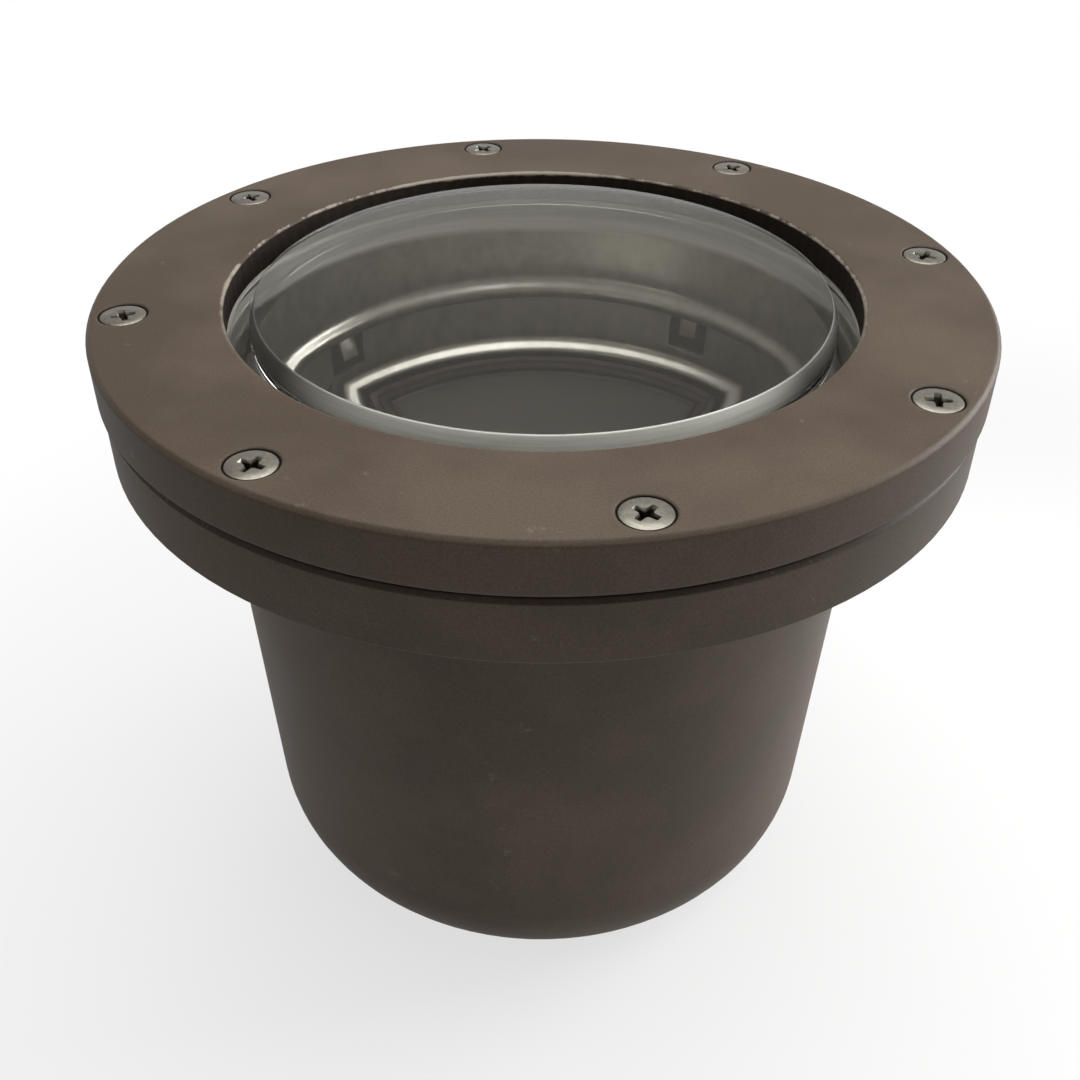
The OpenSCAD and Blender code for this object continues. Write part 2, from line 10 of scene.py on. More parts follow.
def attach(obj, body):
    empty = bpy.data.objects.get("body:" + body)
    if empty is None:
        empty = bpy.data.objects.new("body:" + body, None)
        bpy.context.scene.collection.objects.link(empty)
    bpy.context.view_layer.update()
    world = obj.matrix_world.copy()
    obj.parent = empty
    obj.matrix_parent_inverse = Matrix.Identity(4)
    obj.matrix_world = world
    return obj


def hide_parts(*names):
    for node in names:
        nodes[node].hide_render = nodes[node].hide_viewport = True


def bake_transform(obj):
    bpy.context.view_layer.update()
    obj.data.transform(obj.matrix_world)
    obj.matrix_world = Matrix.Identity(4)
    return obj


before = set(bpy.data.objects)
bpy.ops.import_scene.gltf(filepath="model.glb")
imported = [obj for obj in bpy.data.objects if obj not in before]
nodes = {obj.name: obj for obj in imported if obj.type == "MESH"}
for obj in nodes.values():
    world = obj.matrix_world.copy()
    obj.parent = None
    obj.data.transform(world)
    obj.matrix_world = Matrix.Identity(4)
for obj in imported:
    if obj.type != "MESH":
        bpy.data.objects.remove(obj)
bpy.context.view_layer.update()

# View: a hand-held camera in front of the light, about a quarter of a metre from the middle of
# the glass, looks down into it. Its place was solved from the eight screws of the cover ring.
MM = 0.001
CAMERA_ABOVE = 24.488
CAMERA_DOWN = 36.083
CAMERA_TURN = 0.091
CAMERA_ROLL = 0.423
CAMERA_AWAY = 275.87 * MM
CAMERA_AIM = 150 * MM
CAMERA_SENSOR = 36
CAMERA_LENS = 41.738
CAMERA_NEAR = 10 * MM
camera_data = bpy.data.cameras.new("camera")
camera_data.sensor_width = CAMERA_SENSOR
camera_data.lens = CAMERA_LENS
camera_data.clip_start = CAMERA_NEAR
camera = bpy.data.objects.new("camera", camera_data)
bpy.context.collection.objects.link(camera)
above = math.radians(CAMERA_ABOVE)
camera.location = (0, -CAMERA_AWAY * math.cos(above), CAMERA_AIM + CAMERA_AWAY * math.sin(above))
camera.rotation_euler = (
    Matrix.Rotation(math.radians(CAMERA_TURN), 3, "Z")
    @ Matrix.Rotation(math.radians(90 - CAMERA_DOWN), 3, "X")
    @ Matrix.Rotation(math.radians(CAMERA_ROLL), 3, "Z")
).to_euler()
bpy.context.scene.camera = camera
bpy.context.scene.view_settings.view_transform = "Standard"

# Floor: a table top that takes the soft shadow of the can. A white sheet lies under the can,
# and the table beyond it throws little light back, though it looks as white.


def colour(red, green, blue):
    """A written 0 to 255 screen colour as the linear colour that a shader takes."""
    steps = [value / 255 for value in (red, green, blue)]
    linear = [s / 12.92 if s <= 0.04045 else ((s + 0.055) / 1.055) ** 2.4 for s in steps]
    return (*linear, 1)


def new_material(name, base, roughness, metallic=0.0):
    """A node material whose shader has these plain values; returns it with its tree and shader."""
    material = bpy.data.materials.new(name)
    material.use_nodes = True
    tree = material.node_tree
    shader = tree.nodes["Principled BSDF"]
    shader.inputs["Base Color"].default_value = base
    shader.inputs["Roughness"].default_value = roughness
    shader.inputs["Metallic"].default_value = metallic
    return material, tree, shader


def add_node(tree, kind, **values):
    """A node of that kind in the tree, with its properties or its numbered inputs set."""
    node = tree.nodes.new(kind)
    for key, value in values.items():
        if key.startswith("in_"):
            node.inputs[int(key[3:])].default_value = value
        else:
            setattr(node, key, value)
    return node


def feed(tree, value, socket):
    """Links the output of another node to a socket, or gives the socket this plain value."""
    if isinstance(value, bpy.types.NodeSocket):
        tree.links.new(value, socket)
    else:
        socket.default_value = value


def maths(tree, operation, *values):
    """The result of a math node on numbers or on the outputs of other nodes."""
    node = add_node(tree, "ShaderNodeMath", operation=operation)
    for socket, value in zip(node.inputs, values):
        feed(tree, value, socket)
    return node.outputs[0]


def vector_maths(tree, operation, *values):
    """The result of a vector math node: a length or a distance, or else a vector."""
    node = add_node(tree, "ShaderNodeVectorMath", operation=operation)
    for socket, value in zip(node.inputs, values):
        feed(tree, value, socket)
    return node.outputs["Value" if operation in ("LENGTH", "DISTANCE") else "Vector"]


def mapped(tree, value, low, high, start=0.0, end=1.0, smooth=False):
    """Runs from start to end, and no further, as the given value goes from low to high."""
    node = add_node(tree, "ShaderNodeMapRange", in_1=low, in_2=high, in_3=start, in_4=end,
                    interpolation_type="SMOOTHSTEP" if smooth else "LINEAR")
    tree.links.new(value, node.inputs[0])
    return node.outputs[0]


def mixed(tree, share, first, second, blend_type="MIX"):
    """The colour that is this share of the way from the first to the second."""
    node = add_node(tree, "ShaderNodeMix", data_type="RGBA", blend_type=blend_type)
    feed(tree, share, node.inputs["Factor"])
    feed(tree, first, node.inputs["A"])
    feed(tree, second, node.inputs["B"])
    return node.outputs["Result"]


def object_place(tree):
    """The place of a point, from the origin of its own object."""
    return add_node(tree, "ShaderNodeTexCoord").outputs["Object"]


def seen_ray(tree, reflected):
    """1 where the ray comes from the camera or the glass, the reflected share where it comes
    from a mirror surface, and 0 for plain light."""
    path = add_node(tree, "ShaderNodeLightPath").outputs
    straight = maths(tree, "MAXIMUM", path["Is Camera Ray"], path["Is Transmission Ray"])
    mirrored = maths(tree, "MULTIPLY", path["Is Glossy Ray"], reflected)
    return maths(tree, "MAXIMUM", straight, mirrored)


def show_seen(tree, share, plain, seen, output):
    """Gives the tree's output node the plain shader, and this share of the seen one over it."""
    blend = add_node(tree, "ShaderNodeMixShader")
    tree.links.new(share, blend.inputs[0])
    tree.links.new(plain.outputs[0], blend.inputs[1])
    tree.links.new(seen.outputs[0], blend.inputs[2])
    tree.links.new(blend.outputs[0], tree.nodes[output].inputs[0])


PLAIN_WHITE = (1, 1, 1, 1)
FLOOR_SIZE = 12
FLOOR_WHITE = colour(236, 236, 235)
FLOOR_DARK = colour(96, 94, 90)
FLOOR_ROUGH = 0.9
FLOOR_SHINE = 0.1
FLOOR_MIRRORED = 0.5
SHEET_CENTRE = (0.11, -0.09, 0)
SHEET_NEAR = 0.15
SHEET_FAR = 0.42
GLOW_NEAR = 0.70
GLOW_FAR = 1.0
bm = bmesh.new()
bmesh.ops.create_grid(bm, x_segments=1, y_segments=1, size=FLOOR_SIZE / 2)
floor_mesh = bpy.data.meshes.new("floor")
bm.to_mesh(floor_mesh)
bm.free()
floor = bpy.data.objects.new("floor", floor_mesh)
bpy.context.collection.objects.link(floor)
floor_white, tree, shader = new_material("floor_white", FLOOR_WHITE, FLOOR_ROUGH)
shader.inputs["Specular IOR Level"].default_value = FLOOR_SHINE
from_centre = vector_maths(tree, "SUBTRACT", object_place(tree), SHEET_CENTRE)
away = vector_maths(tree, "LENGTH", from_centre)
sheet_share = mapped(tree, away, SHEET_NEAR, SHEET_FAR, smooth=True)
tree.links.new(mixed(tree, sheet_share, FLOOR_WHITE, FLOOR_DARK), shader.inputs["Base Color"])
glow = add_node(tree, "ShaderNodeEmission", in_0=PLAIN_WHITE, in_1=1.0)
glow_share = mapped(tree, away, SHEET_NEAR, SHEET_FAR, GLOW_NEAR, GLOW_FAR, smooth=True)
seen_glow = maths(tree, "MULTIPLY", seen_ray(tree, FLOOR_MIRRORED), glow_share)
show_seen(tree, seen_glow, shader, glow, "Material Output")
floor_mesh.materials.append(floor_white)

# Room: low white walls under a dim warm ceiling, with one wide soft lamp overhead and a smaller
# one low at the right, which lights that side of the can and of the ring.


def split_axes(tree, place):
    """The x, y and z of this place, as a node's three outputs."""
    split = add_node(tree, "ShaderNodeSeparateXYZ")
    tree.links.new(place, split.inputs[0])
    return split.outputs


WALL_TOP = math.sin(math.radians(13))
CEILING_FROM = math.sin(math.radians(19))
CEILING_SHADE = (0.26, 0.245, 0.22, 1)
ROOM_LIGHT = 0.205
LAMP_AIM = Vector((0, 0, 0.1))
LAMPS = (
    ((0.10, 0.16, 1.08), 1.05, 11.2),
    ((0.95, 0.35, 0.42), 0.6, 10.5),
)
world = bpy.data.worlds.new("room")
bpy.context.scene.world = world
world.use_nodes = True
tree = world.node_tree
room = tree.nodes["Background"]
room.inputs[0].default_value = PLAIN_WHITE
room.inputs[1].default_value = ROOM_LIGHT
seen_room = add_node(tree, "ShaderNodeBackground", in_1=1.0)
way = add_node(tree, "ShaderNodeTexCoord").outputs["Generated"]
ceiling = mapped(tree, split_axes(tree, way)["Z"], WALL_TOP, CEILING_FROM, smooth=True)
tree.links.new(mixed(tree, ceiling, PLAIN_WHITE, CEILING_SHADE), seen_room.inputs[0])
show_seen(tree, seen_ray(tree, 1.0), room, seen_room, "World Output")
for lamp_place, size, watts in LAMPS:
    lamp_data = bpy.data.lights.new("soft_lamp", "AREA")
    lamp_data.size = size
    lamp_data.energy = watts
    soft_lamp = bpy.data.objects.new("soft_lamp", lamp_data)
    bpy.context.collection.objects.link(soft_lamp)
    soft_lamp.location = lamp_place
    soft_lamp.rotation_euler = (LAMP_AIM - Vector(lamp_place)).to_track_quat("-Z", "Y").to_euler()


def paint(node, material):
    """Gives a CAD node this material in all its slots."""
    piece = nodes[node]
    if not piece.material_slots:
        piece.data.materials.append(None)
    for slot in piece.material_slots:
        slot.material = material


def new_group(name, inputs, outputs):
    """An empty node group with these sockets, each a name and a kind; returns it with the
    sockets that hold what it is given and what it puts out."""
    group = bpy.data.node_groups.new(name, "ShaderNodeTree")
    for in_out, sockets in (("INPUT", inputs), ("OUTPUT", outputs)):
        for socket, kind in sockets:
            group.interface.new_socket(socket, in_out=in_out, socket_type="NodeSocket" + kind)
    given = add_node(group, "NodeGroupInput").outputs
    result = add_node(group, "NodeGroupOutput").inputs
    return group, given, result


def noise(tree, place, scale=1.0, detail=3.0, roughness=0.6):
    """The value of a noise texture at this place."""
    texture = add_node(tree, "ShaderNodeTexNoise", in_2=scale, in_3=detail, in_4=roughness)
    tree.links.new(place, texture.inputs["Vector"])
    return texture.outputs["Fac"]


def joined(tree, x, y):
    """Two values as the x and y of one vector."""
    vector = add_node(tree, "ShaderNodeCombineXYZ")
    tree.links.new(x, vector.inputs[0])
    tree.links.new(y, vector.inputs[1])
    return vector.outputs[0]


def axis_distance(tree, at):
    """How far the place with this x and y is from the light's upright axis."""
    return vector_maths(tree, "LENGTH", joined(tree, at["X"], at["Y"]))


def bumped(tree, shader, height, strength, depth, normal=None):
    """Gives the shader a bump of this height, over another normal where there is one."""
    bump = add_node(tree, "ShaderNodeBump")
    bump.inputs["Strength"].default_value = strength
    bump.inputs["Distance"].default_value = depth
    tree.links.new(height, bump.inputs["Height"])
    if normal:
        tree.links.new(normal, bump.inputs["Normal"])
    tree.links.new(bump.outputs["Normal"], shader.inputs["Normal"])


BRONZE = colour(79, 67, 56)
BRONZE_PALE = colour(97, 85, 73)
BRONZE_WEAR_AND_SHEEN = colour(158, 149, 136)
BRONZE_SHADE = colour(66, 48, 37)
BRONZE_SHINE = 0.18
BRONZE_ROUGH = 0.5
BRONZE_METAL = 0.05
COAT_ROUGH_LOW = 0.44
COAT_ROUGH_HIGH = 0.56
CLOUD_SCALE = 28.0
CLOUD_REACH = (0.40, 0.64)
CLOUD_MOST = 0.75
GRAIN_SCALE = 2300.0
GRAIN_REACH = (0.3, 0.7)
GRAIN_DARK = 0.82
GRAIN_LIGHT = 1.14
GRAIN_STRENGTH = 0.12
GRAIN_DEPTH = 0.2 * MM
SCUFF_SCALE = 90.0
SCUFF_REACH = (0.66, 0.78)
SCUFF_MOST = 0.4
EDGE_LINE_SCALE = 55.0
EDGE_LINE_REACH = (0.36, 0.64)
EDGE_LINE_LEAST = 0.2
EDGE_LINE_MOST = 1.5
EDGE_LINE_CORE = 0.4
LIT_REAR_FROM = -45 * MM
LIT_REAR_TO = 15 * MM
SHADE_ROUGH = 0.95
SHADE_BLUR = 0.2 * MM
SOFT_SAMPLES = 6


def coat_group():
    """Colour, roughness and height of the bronze coat: clouds, fine grain, a few scuffs, and the pale
    edge line it is given, which is wear and painted highlight.
    """
    group, given, result = new_group(
        "bronze_coat_marks",
        (("Coat", "Color"), ("Cloud", "Color"), ("Worn and lit", "Color"), ("Wear and sheen", "Float")),
        (("Color", "Color"), ("Roughness", "Float"), ("Height", "Float")))
    place = object_place(group)
    cloud = noise(group, place, CLOUD_SCALE, detail=4.0, roughness=0.55)
    grain = noise(group, place, GRAIN_SCALE, detail=2.0, roughness=0.6)
    scuff = noise(group, place, SCUFF_SCALE, detail=5.0, roughness=0.7)
    cloud_share = mapped(group, cloud, *CLOUD_REACH, 0.0, CLOUD_MOST)
    clouded = mixed(group, cloud_share, given["Coat"], given["Cloud"])
    grain_tone = mapped(group, grain, *GRAIN_REACH, GRAIN_DARK, GRAIN_LIGHT)
    grained = mixed(group, 1.0, clouded, grain_tone, "MULTIPLY")
    scuff_share = mapped(group, scuff, *SCUFF_REACH, 0.0, SCUFF_MOST)
    wear_and_sheen = maths(group, "MAXIMUM", given["Wear and sheen"], scuff_share)
    rough = mapped(group, cloud, *GRAIN_REACH, COAT_ROUGH_LOW, COAT_ROUGH_HIGH)
    group.links.new(mixed(group, wear_and_sheen, grained, given["Worn and lit"]), result["Color"])
    group.links.new(rough, result["Roughness"])
    group.links.new(grain, result["Height"])
    return group


def edge_group():
    """A mask that is 1 on a turned edge, given by its radius and height, and ragged beside it: a pale
    line of wear and painted highlight.
    Whole is 1 for a line all the way round, and 0 for a line on the rear half only, a painted highlight
    where the edge catches the light."""
    group, given, result = new_group(
        "turned_edge_wear_and_sheen",
        (("Radius", "Float"), ("Level", "Float"), ("Width", "Float"), ("Whole", "Float")),
        (("Mask", "Float"),))
    place = object_place(group)
    at = split_axes(group, place)
    here = joined(group, axis_distance(group, at), at["Z"])
    edge = joined(group, given["Radius"], given["Level"])
    ragged = noise(group, place, EDGE_LINE_SCALE, detail=6.0, roughness=0.8)
    reach = mapped(group, ragged, *EDGE_LINE_REACH, EDGE_LINE_LEAST, EDGE_LINE_MOST)
    width = maths(group, "MULTIPLY", given["Width"], reach)
    share = maths(group, "DIVIDE", vector_maths(group, "DISTANCE", here, edge), width)
    mask = mapped(group, share, EDGE_LINE_CORE, 1.0, 1.0, 0.0, smooth=True)
    lit_rear = mapped(group, at["Y"], LIT_REAR_FROM, LIT_REAR_TO, smooth=True)
    line_side = maths(group, "MAXIMUM", lit_rear, given["Whole"])
    group.links.new(maths(group, "MULTIPLY", line_side, mask), result["Mask"])
    return group


coat_marks = coat_group()
edge_wear_and_sheen = edge_group()


def bronze_finish(name, edges, recess, soft_edge, shaded_spots=None):
    """The satin bronze coat, with a pale line of wear and painted highlight along turned edges of
    (radius, level, width, whole), and painted shade inside a recess of (radius, lowest level, highest
    level, colour) and in the spots that the spot mask makes. Its corners look as round as soft_edge."""
    material, tree, shader = new_material(name, BRONZE, BRONZE_ROUGH, BRONZE_METAL)
    shader.inputs["Specular IOR Level"].default_value = BRONZE_SHINE
    wear_and_sheen = 0.0
    for edge in edges:
        mask = add_node(tree, "ShaderNodeGroup", node_tree=edge_wear_and_sheen)
        for socket, value in zip(mask.inputs, edge):
            socket.default_value = value
        wear_and_sheen = maths(tree, "MAXIMUM", wear_and_sheen, mask.outputs["Mask"])
    recess_r, recess_low, recess_high, shade_tone = recess
    at = split_axes(tree, object_place(tree))
    level = maths(tree, "MULTIPLY", maths(tree, "GREATER_THAN", at["Z"], recess_low),
                  maths(tree, "LESS_THAN", at["Z"], recess_high))
    inside = mapped(tree, axis_distance(tree, at),
                    recess_r - SHADE_BLUR, recess_r + SHADE_BLUR, 1.0, 0.0)
    dark = maths(tree, "MULTIPLY", level, inside)
    if shaded_spots:
        dark = maths(tree, "MAXIMUM", dark, shaded_spots(tree))
    marks = add_node(tree, "ShaderNodeGroup", node_tree=coat_marks)
    marks.inputs["Worn and lit"].default_value = BRONZE_WEAR_AND_SHEEN
    tree.links.new(wear_and_sheen, marks.inputs["Wear and sheen"])
    tree.links.new(mixed(tree, dark, BRONZE, shade_tone), marks.inputs["Coat"])
    tree.links.new(mixed(tree, dark, BRONZE_PALE, shade_tone), marks.inputs["Cloud"])
    rough = maths(tree, "MAXIMUM", maths(tree, "MULTIPLY", dark, SHADE_ROUGH), marks.outputs["Roughness"])
    tree.links.new(marks.outputs["Color"], shader.inputs["Base Color"])
    tree.links.new(rough, shader.inputs["Roughness"])
    round_edges = add_node(tree, "ShaderNodeBevel", samples=SOFT_SAMPLES, in_0=soft_edge)
    bumped(tree, shader, marks.outputs["Height"], GRAIN_STRENGTH, GRAIN_DEPTH, round_edges.outputs[0])
    return material


FLANGE_R = 94.3 * MM
FLANGE_TOP = 137.8 * MM
FLANGE_LOW = 123.9 * MM
FLANGE_TOP_LINE = 0.55 * MM
FLANGE_LOW_LINE = 0.25 * MM
INSIDE_R = 71.5 * MM
INSIDE_LOW = 80 * MM
INSIDE_TOP = 131 * MM
CAN_SOFT_EDGE = 0.4 * MM
# A pale line of wear and painted highlight runs all round both edges of the flange.
can_edges = (
    (FLANGE_R, FLANGE_TOP, FLANGE_TOP_LINE, 1.0),
    (FLANGE_R, FLANGE_LOW, FLANGE_LOW_LINE, 1.0),
)
# The can's inside is painted dark as shade, so that it shows dark through the bowl's slots.
can_inside = (INSIDE_R, INSIDE_LOW, INSIDE_TOP, BRONZE_SHADE)
housing_bronze = bronze_finish("housing_bronze", can_edges, can_inside, CAN_SOFT_EDGE)
paint("housing", housing_bronze)

# Flange gasket: a flat ring of black moulded rubber in the flange's groove, seen only as the
# dark line between flange and cover ring. The gland's washer and bush are of the same rubber.


def fine_grain(tree, shader, scale, strength, depth):
    """The value of a fine moulded or turned grain, which the shader also takes as its bump."""
    texture = noise(tree, object_place(tree), scale)
    bumped(tree, shader, texture, strength, depth)
    return texture


def two_tones(tree, texture, tones, reach):
    """A colour that runs from the first tone to the second as the texture goes through reach."""
    return mixed(tree, mapped(tree, texture, *reach), *tones)


def plain_finish(name, base, rough, grain, tones, metal=0.0, shine=0.5, reach=GRAIN_REACH):
    """A finish with a grain of (scale, strength, depth) that runs from the first of its two
    tones to the second as the grain's value goes through its reach."""
    material, tree, shader = new_material(name, base, rough, metal)
    shader.inputs["Specular IOR Level"].default_value = shine
    texture = fine_grain(tree, shader, *grain)
    tree.links.new(two_tones(tree, texture, tones, reach), shader.inputs["Base Color"])
    return material


black_rubber = plain_finish(
    "black_rubber", colour(12, 11, 10), rough=0.9, shine=0.15, grain=(900.0, 0.2, 0.2 * MM),
    tones=(colour(9, 8, 7), colour(16, 15, 14)))
for name in ("flange_gasket", "gland_washer", "gland_bush"):
    paint(name, black_rubber)

# Inner screws, washers, swivel bolt and spring washer: turned or stamped of stainless steel and
# left satin. They hold the yoke in the can, the lamp in the yoke and the terminal block on it.
satin_steel = plain_finish(
    "satin_steel", colour(142, 140, 132), rough=0.4, metal=0.9, grain=(1200.0, 0.1, 0.1 * MM),
    tones=(colour(126, 124, 116), colour(156, 154, 146)))
for name in ("earth_washer", "swivel_bolt", "swivel_spring_washer", "pivot_screws", "block_screw"):
    paint(name, satin_steel)

# Earth screw, lamp terminals and clamp screws: turned brass with a thin dull skin, screwed into
# the can, the back of the lamp and the terminal block.
turned_brass = plain_finish(
    "turned_brass", colour(196, 160, 92), rough=0.36, metal=0.9, grain=(700.0, 0.1, 0.1 * MM),
    tones=(colour(170, 136, 76), colour(210, 176, 108)))
for name in ("earth_screw", "lamp_terminals", "terminal_screws"):
    paint(name, turned_brass)

# Cable gland, terminal block and plastic washers: black moulded nylon with a fine spark texture.
# The gland is screwed into the can's boss, and its dome nut squeezes the rubber bush.
black_nylon = plain_finish(
    "black_nylon", colour(36, 36, 37), rough=0.55, grain=(1100.0, 0.25, 0.2 * MM),
    tones=(colour(30, 30, 31), colour(44, 44, 45)))
for name in ("gland_body", "gland_nut", "swivel_pad", "pivot_washers", "terminal_block"):
    paint(name, black_nylon)

# Yoke and lamp holder: bent strip steel, zinc plated and black passivated, faintly spangled.
# The holder hangs between the yoke's arms on the two pivot screws.
zinc_plate = plain_finish(
    "zinc_plate", colour(62, 52, 45), rough=0.7, grain=(220.0, 0.08, 0.2 * MM),
    tones=(colour(56, 47, 41), colour(68, 58, 51)), reach=(0.35, 0.65))
for name in ("yoke", "gimbal_ring"):
    paint(name, zinc_plate)

# Retaining ring: one turn of spring wire with a black oxide skin. It snaps in over the lamp's
# rim and holds the lamp down in its holder.
spring_wire = plain_finish(
    "spring_wire", colour(64, 56, 50), rough=0.8, grain=(800.0, 0.1, 0.1 * MM),
    tones=(colour(44, 38, 33), colour(56, 49, 43)))
paint("retaining_ring", spring_wire)

# Lamp body: bare die cast aluminium with cooling fins, dull and slightly orange-peeled. Its rim
# lies in the holder.
die_cast = plain_finish(
    "die_cast", colour(70, 62, 56), rough=0.75, metal=0.05, grain=(350.0, 0.15, 0.3 * MM),
    tones=(colour(70, 65, 59), colour(86, 80, 73)))
paint("lamp_body", die_cast)

# Lamp face: a flat frosted diffuser that looks dark while the lamp is off. It is cemented into
# the lamp's rim.
frosted_face = plain_finish(
    "frosted_face", colour(72, 69, 64), rough=0.5, grain=(1500.0, 0.1, 0.1 * MM),
    tones=(colour(67, 64, 59), colour(77, 74, 69)))
paint("lamp_face", frosted_face)

# LED board and LEDs: a round board with a white solder mask, held in the lamp behind its face,
# and LEDs of yellow phosphor resin soldered on it in three rings.
white_mask = plain_finish(
    "white_mask", colour(225, 225, 220), rough=0.4, grain=(900.0, 0.05, 0.1 * MM),
    tones=(colour(218, 218, 213), colour(232, 232, 228)))
paint("led_board", white_mask)
phosphor = plain_finish(
    "phosphor", colour(222, 190, 84), rough=0.35, grain=(1500.0, 0.1, 0.1 * MM),
    tones=(colour(214, 180, 74), colour(230, 200, 98)))
paint("leds", phosphor)

# Lens gaskets: pale silicone, moulded. The lower one is L shaped and stands up round the edge
# of the glass, and the upper one lies under the ring's lip.
pale_silicone = plain_finish(
    "pale_silicone", colour(236, 235, 226), rough=0.55, grain=(700.0, 0.1, 0.1 * MM),
    tones=(colour(230, 229, 220), colour(242, 241, 233)))
paint("lens_seat_gasket", pale_silicone)
ring_silicone = plain_finish(
    "ring_silicone", colour(196, 193, 183), rough=0.6, grain=(700.0, 0.1, 0.1 * MM),
    tones=(colour(214, 212, 202), colour(230, 228, 218)))
paint("lens_top_gasket", ring_silicone)

# Bowl: spun from thin sheet, with its sizes in millimetres. Its flange lies on the can's seat, a
# collar and a pressed bead stiffen the wall, the lower edge is rolled, and four U shaped tabs are
# lanced out of the wall.


def arc(centre_r, centre_z, radius, start, end, count):
    """Points of an arc in the (radius, height) plane, from one angle to another in degrees."""
    steps = [math.radians(start + (end - start) * i / count) for i in range(count + 1)]
    return [(centre_r + radius * math.cos(a), centre_z + radius * math.sin(a)) for a in steps]


def finish_mesh(name, bm, material, sharp):
    """Turns a bmesh into a piece with smooth faces and sharp corners, and frees it."""
    mesh = bpy.data.meshes.new(name)
    bm.to_mesh(mesh)
    bm.free()
    mesh.shade_smooth()
    mesh.set_sharp_from_angle(angle=math.radians(sharp))
    mesh.materials.append(material)
    piece = bpy.data.objects.new(name, mesh)
    bpy.context.collection.objects.link(piece)
    return piece


def drawn_line(bm, points):
    """A line through (radius, height) points in millimetres, as the geometry for a spin."""
    verts = [bm.verts.new((r * MM, 0, z * MM)) for r, z in points]
    edges = [bm.edges.new(pair) for pair in zip(verts, verts[1:])]
    return verts + edges


MERGE_DIST = 0.01 * MM
SHEET_T = 1.2
CUT_ROUND = 0.28
CUT_SEGMENTS = 2
BOWL_SHARP = 50
BOWL_FLANGE_R = 77.4
BOWL_BEND_R = 74.0
BOWL_TOP = 131.8
COLLAR_R = 69.0
COLLAR_BEND = 1.6
COLLAR_MIDDLE = 127.0
COLLAR_LOW = 123.5
COLLAR_TURN = ((0, 1.0), (-0.25, -0.6))
CONE = ((68.0, 118.8), (67.4, 115.6), (67.1, 113.8))
BEAD_Z = 110.0
BEAD_WALL_R = 66.3
BEAD_LEDGE = 43
BEAD_HOLLOW = 3.0
BEAD_HOLLOW_R, BEAD_HOLLOW_UP = 64.0, 1.9
BEAD_ROUND = 1.9
BEAD_ROUND_R, BEAD_ROUND_DOWN = 67.18, 1.88
BEAD_ROUND_END = 214
BEAD_FOOT_R, BEAD_FOOT_DOWN = 65.75, 3.08
WALL_LOW, WALL_LOW_R = 98.9, 65.3
WALL_SPARE = 0.5
ROLL_LEDGE = 54
ROLL_HOLLOW = 1.8
ROLL_HOLLOW_R, ROLL_HOLLOW_DOWN = 63.49, 0.9
ROLL_R = 1.3
ROLL_MIDDLE_R, ROLL_DOWN = 64.45, 4.0
ROLL_END = 400
TAB_LOW, TAB_SILL, TAB_TOP = 100.0, 103.1, 106.7
TAB_LOW_MIDDLE, TAB_TOP_MIDDLE = 101.8, 105.2
TAB_OUT, TAB_IN = 4.6, 2.0
TAB_TURNS = (55.3, 139, 235.3, 319)
TAB_BENDS = (0.3, 1.5, 0.3, 1.5)
TAB_SPARE = 0.1
TAB_STEPS = 3
REST_STEPS = 54


def wall_r(z):
    """Radius of the straight wall between the bead and the rolled rim."""
    share = (z - WALL_LOW) / (BEAD_Z - WALL_LOW)
    return WALL_LOW_R + (BEAD_WALL_R - WALL_LOW_R) * share


def on_wall(spot):
    """Whether a spot lies on the bowl's wall, and not on the can side of it."""
    return spot.xy.length < BEAD_WALL_R + WALL_SPARE


def from_tab(spot, tab_turn):
    """How many degrees a spot lies to the side of the tab at this turn."""
    outward = Vector((math.cos(math.radians(tab_turn)), math.sin(math.radians(tab_turn))))
    return abs(math.degrees(spot.xy.angle_signed(outward)))


bowl_line = [(BOWL_FLANGE_R, BOWL_TOP), (BOWL_BEND_R, BOWL_TOP)]
bowl_line += arc(COLLAR_R + COLLAR_BEND, BOWL_TOP - COLLAR_BEND, COLLAR_BEND, 90, 180, 6)
bowl_line += [(COLLAR_R, COLLAR_MIDDLE)]
bowl_line += [(COLLAR_R + out, COLLAR_LOW + up) for out, up in COLLAR_TURN]
bowl_line += CONE
bowl_line += arc(BEAD_HOLLOW_R, BEAD_Z + BEAD_HOLLOW_UP, BEAD_HOLLOW, 0, -BEAD_LEDGE, 8)
bowl_line += arc(BEAD_ROUND_R, BEAD_Z - BEAD_ROUND_DOWN, BEAD_ROUND, 180 - BEAD_LEDGE, BEAD_ROUND_END, 10)
bowl_line += [(BEAD_FOOT_R, BEAD_Z - BEAD_FOOT_DOWN)]
tab_levels = (TAB_TOP, TAB_TOP_MIDDLE, TAB_SILL, TAB_LOW_MIDDLE, TAB_LOW, WALL_LOW)
bowl_line += [(wall_r(z), z) for z in tab_levels]
bowl_line += arc(ROLL_HOLLOW_R, WALL_LOW - ROLL_HOLLOW_DOWN, ROLL_HOLLOW, 0, -ROLL_LEDGE, 6)
bowl_line += arc(ROLL_MIDDLE_R, WALL_LOW - ROLL_DOWN, ROLL_R, 180 - ROLL_LEDGE, ROLL_END, 20)
bm = bmesh.new()
geometry = drawn_line(bm, bowl_line)
first_cut = Matrix.Rotation(math.radians(TAB_TURNS[0] - TAB_OUT), 3, "Z")
bmesh.ops.rotate(bm, verts=bm.verts, matrix=first_cut)
for turn, next_turn in zip(TAB_TURNS, TAB_TURNS[1:] + (TAB_TURNS[0] + 360,)):
    side = (TAB_OUT - TAB_IN, TAB_STEPS)
    rest = (next_turn - turn - 2 * TAB_OUT, REST_STEPS)
    for degrees, steps in (side, (2 * TAB_IN, TAB_STEPS), side, rest):
        geometry = bmesh.ops.spin(bm, geom=geometry, axis=(0, 0, 1), cent=(0, 0, 0),
                                  angle=math.radians(degrees), steps=steps)["geom_last"]
